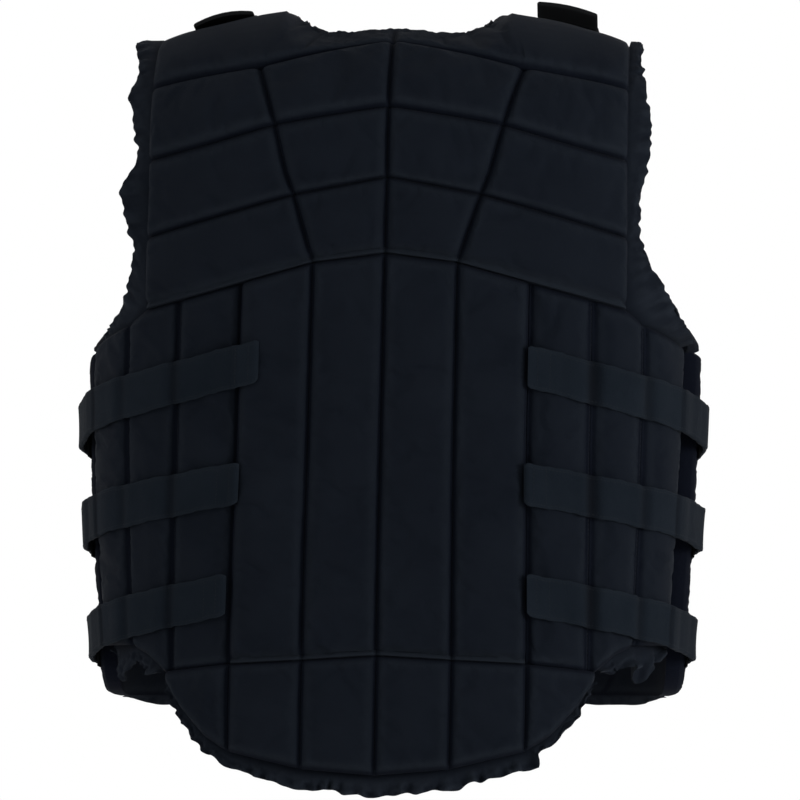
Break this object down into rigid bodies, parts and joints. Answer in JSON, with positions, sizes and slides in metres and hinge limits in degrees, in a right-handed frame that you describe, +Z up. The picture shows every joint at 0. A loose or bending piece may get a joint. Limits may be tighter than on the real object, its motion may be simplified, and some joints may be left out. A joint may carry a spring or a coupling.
{
  "type": "equestrian body protector",
  "caption": "Quilted foam riding vest with a long tail at the back, side straps and shoulder tabs, in its worn shape.",
  "frame": {"origin": "midway between the wearer's shoulders, at the level where the lining rests on them", "axes": "+Z up along the wearer's back, +Y the way the wearer faces, +X the wearer's right"},
  "size_m": [0.4398, 0.2534, 0.5564],
  "materials": {
    "shell_fabric": "matt dark navy soft shell over foam",
    "trim_fabric": "gathered dark navy stretch binding",
    "strap_webbing": "dark navy loop-faced elastic strap",
    "hook_tape": "black hook tape",
    "zip": "black moulded zip on tape"
  },
  "bodies": {
    "root": {"back_yoke": "shell_fabric", "back_bars": "shell_fabric", "back_tail": "shell_fabric", "back_wing_left": "shell_fabric", "back_wing_right": "shell_fabric", "front_panel_left": "shell_fabric", "front_panel_right": "shell_fabric", "front_zip": "zip", "neck_trim_back": "trim_fabric", "neck_trim_front_left": "trim_fabric", "neck_trim_front_right": "trim_fabric", "armhole_trim_back_left": "trim_fabric", "armhole_trim_back_right": "trim_fabric", "armhole_trim_front_left": "trim_fabric", "armhole_trim_front_right": "trim_fabric", "hem_trim_back": "trim_fabric", "hem_trim_front_left": "trim_fabric", "hem_trim_front_right": "trim_fabric", "wing_hem_left": "trim_fabric", "wing_hem_right": "trim_fabric", "shoulder_tab_left": "hook_tape", "shoulder_tab_right": "hook_tape", "side_strap_left_upper": "strap_webbing", "side_strap_left_middle": "strap_webbing", "side_strap_left_lower": "strap_webbing", "side_strap_right_upper": "strap_webbing", "side_strap_right_middle": "strap_webbing", "side_strap_right_lower": "strap_webbing", "strap_anchor_left_upper": "hook_tape", "strap_anchor_left_middle": "hook_tape", "strap_anchor_left_lower": "hook_tape", "strap_anchor_right_upper": "hook_tape", "strap_anchor_right_middle": "hook_tape", "strap_anchor_right_lower": "hook_tape"}
  },
  "joints": []
}
